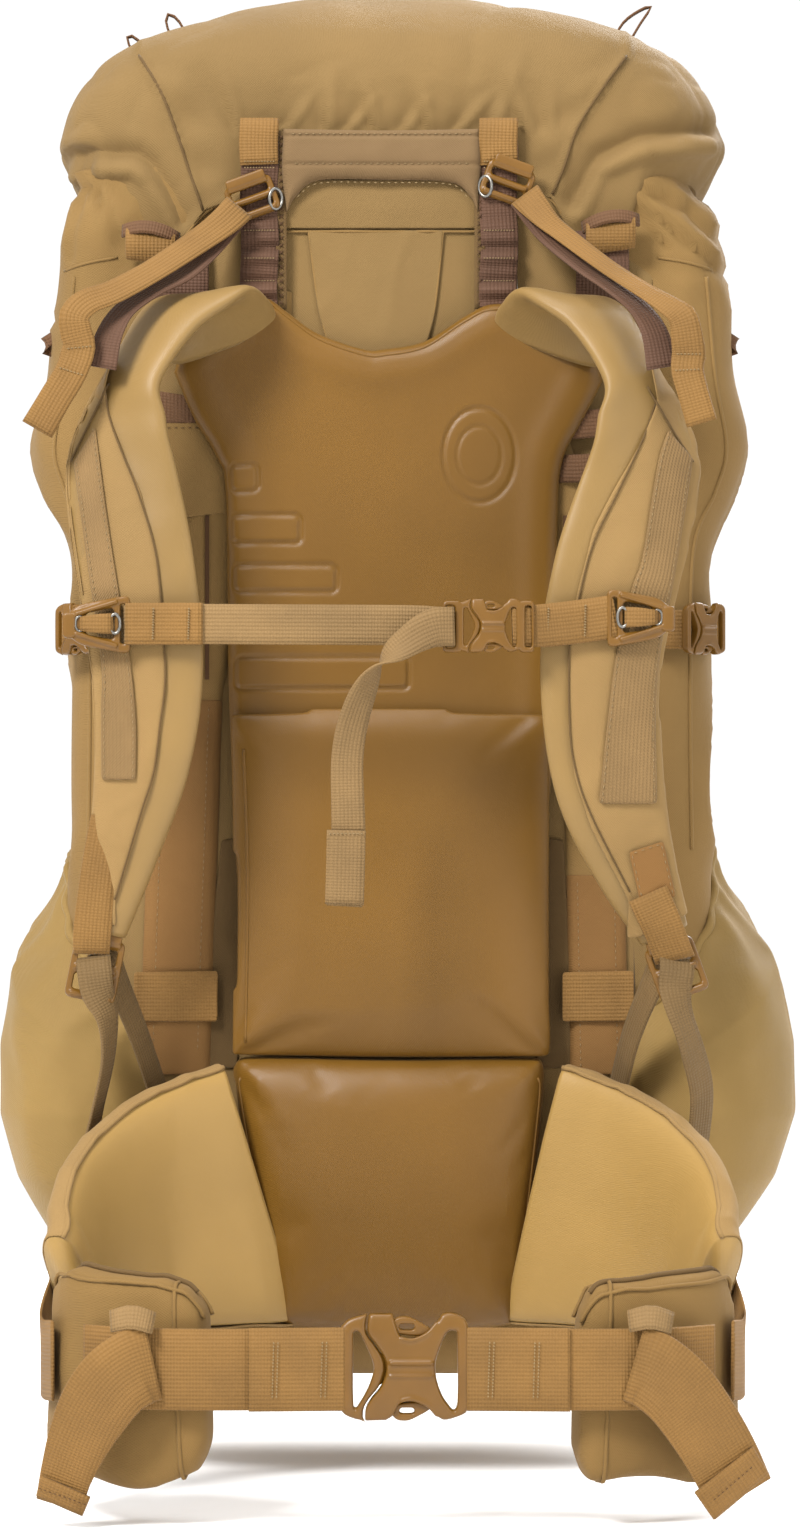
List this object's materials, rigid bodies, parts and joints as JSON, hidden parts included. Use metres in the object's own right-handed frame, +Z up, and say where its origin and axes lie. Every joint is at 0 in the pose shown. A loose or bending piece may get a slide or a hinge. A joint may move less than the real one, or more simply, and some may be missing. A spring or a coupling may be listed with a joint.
{
  "type": "hunting backpack",
  "caption": "Large framed backpack: padded harness with sliding yoke, sternum strap, buckled hip belt, hinged lid and stretch side pockets.",
  "frame": {"origin": "under the grip of the grab handle, on the bag's centre plane, where a hand or hook carries the pack", "axes": "+Z up, -Y towards the wearer (the harness side), +Y towards the bag's front, +X to the right of a viewer who faces the harness"},
  "size_m": [0.5234, 0.5759, 0.9505],
  "materials": {
    "bag_cloth": "matte laminated pack cloth",
    "stretch_cloth": "smooth stretch pocket cloth",
    "pad_facing": "satin smooth pad facing",
    "strap_cloth": "matte strap cover",
    "webbing": "ribbed woven webbing",
    "sleeve_cloth": "stitched sleeve cloth",
    "moulded_plastic": "semi-gloss moulded buckles",
    "sheet_plastic": "plain sheet",
    "stay_metal": "mill finish"
  },
  "bodies": {
    "pack": {"bag_left_side": "bag_cloth", "bag_right_side": "bag_cloth", "bag_back_panel": "bag_cloth", "bag_front_panel": "bag_cloth", "bag_floor": "bag_cloth", "front_pocket": "bag_cloth", "grab_handle": "bag_cloth", "side_pocket_left": "stretch_cloth", "side_pocket_right": "stretch_cloth", "lower_back_pad": "pad_facing", "lumbar_pad": "pad_facing", "side_strap_left": "webbing", "side_strap_right": "webbing", "ladder_left": "webbing", "ladder_right": "webbing", "lower_webbing_left": "webbing", "lower_webbing_right": "webbing", "stay_sleeve_left": "sleeve_cloth", "stay_sleeve_right": "sleeve_cloth", "lid_buckle_female_left": "moulded_plastic", "lid_buckle_female_right": "moulded_plastic", "side_buckle_left": "moulded_plastic", "side_buckle_right": "moulded_plastic", "load_lifter_buckle_left": "moulded_plastic", "load_lifter_buckle_right": "moulded_plastic", "frame_sheet": "sheet_plastic", "stay_left": "stay_metal", "stay_right": "stay_metal"},
    "lid": {"lid_shell": "bag_cloth", "lid_floor": "bag_cloth", "lid_buckle_male_left": "moulded_plastic", "lid_buckle_male_right": "moulded_plastic"},
    "lid_slider": {"lid_zip_slider": "moulded_plastic"},
    "front_slider": {"front_zip_slider": "moulded_plastic"},
    "yoke": {"yoke": "pad_facing", "shoulder_strap_left": "strap_cloth", "shoulder_strap_right": "strap_cloth", "strap_ladder_lock_left": "moulded_plastic", "strap_ladder_lock_right": "moulded_plastic", "load_lifter_left": "webbing", "load_lifter_right": "webbing"},
    "sternum": {"sternum_slider_left": "moulded_plastic", "sternum_slider_right": "moulded_plastic", "sternum_webbing_left": "webbing", "sternum_webbing_right": "webbing", "sternum_buckle_female": "moulded_plastic"},
    "sternum_male": {"sternum_buckle_male": "moulded_plastic", "sternum_tail": "webbing"},
    "belt_left": {"hip_wing_left": "pad_facing", "hip_pod_left": "bag_cloth", "belt_webbing_left": "webbing", "belt_tail_left": "webbing", "belt_buckle_male": "moulded_plastic"},
    "belt_right": {"hip_wing_right": "pad_facing", "hip_pod_right": "bag_cloth", "belt_webbing_right": "webbing", "belt_tail_right": "webbing", "belt_buckle_female": "moulded_plastic"},
    "prong_upper": {"belt_release_prong_upper": "moulded_plastic"},
    "prong_lower": {"belt_release_prong_lower": "moulded_plastic"}
  },
  "joints": [
    {"name": "lid_hinge", "type": "hinge", "parent": "pack", "child": "lid", "pos_m": [0, 0.006, 0.034], "axis": [1, 0, 0], "range_deg": [0, 100]},
    {"name": "lid_zip", "type": "slide", "parent": "lid", "child": "lid_slider", "axis": [1, 0, 0], "range_m": [0, 0.16]},
    {"name": "front_zip", "type": "slide", "parent": "pack", "child": "front_slider", "axis": [0, 0, -1], "range_m": [0, 0.34]},
    {"name": "yoke_slide", "type": "slide", "parent": "pack", "child": "yoke", "axis": [0, 0, 1], "range_m": [-0.06, 0.02]},
    {"name": "sternum_slide", "type": "slide", "parent": "yoke", "child": "sternum", "axis": [0, 0, 1], "range_m": [-0.03, 0.03]},
    {"name": "sternum_release", "type": "slide", "parent": "sternum", "child": "sternum_male", "axis": [-1, 0, 0], "range_m": [0, 0.03]},
    {"name": "belt_swing_left", "type": "hinge", "parent": "pack", "child": "belt_left", "pos_m": [-0.098, -0.004, -0.68], "axis": [0, 0, -1], "range_deg": [0, 24]},
    {"name": "belt_swing_right", "type": "hinge", "parent": "pack", "child": "belt_right", "pos_m": [0.116, -0.004, -0.68], "axis": [0, 0, 1], "range_deg": [0, 24]},
    {"name": "belt_release_upper", "type": "hinge", "parent": "belt_left", "child": "prong_upper", "pos_m": [-0.011, -0.232, -0.714], "axis": [0, 1, 0], "range_deg": [0, 6], "stiffness_Nm_per_rad": 0.05},
    {"name": "belt_release_lower", "type": "hinge", "parent": "belt_left", "child": "prong_lower", "pos_m": [-0.011, -0.232, -0.76], "axis": [0, -1, 0], "range_deg": [0, 6], "stiffness_Nm_per_rad": 0.05}
  ],
  "couplings": [
    {"joint": "belt_swing_right", "follows": "belt_swing_left", "ratio": 1},
    {"joint": "belt_release_lower", "follows": "belt_release_upper", "ratio": 1}
  ]
}
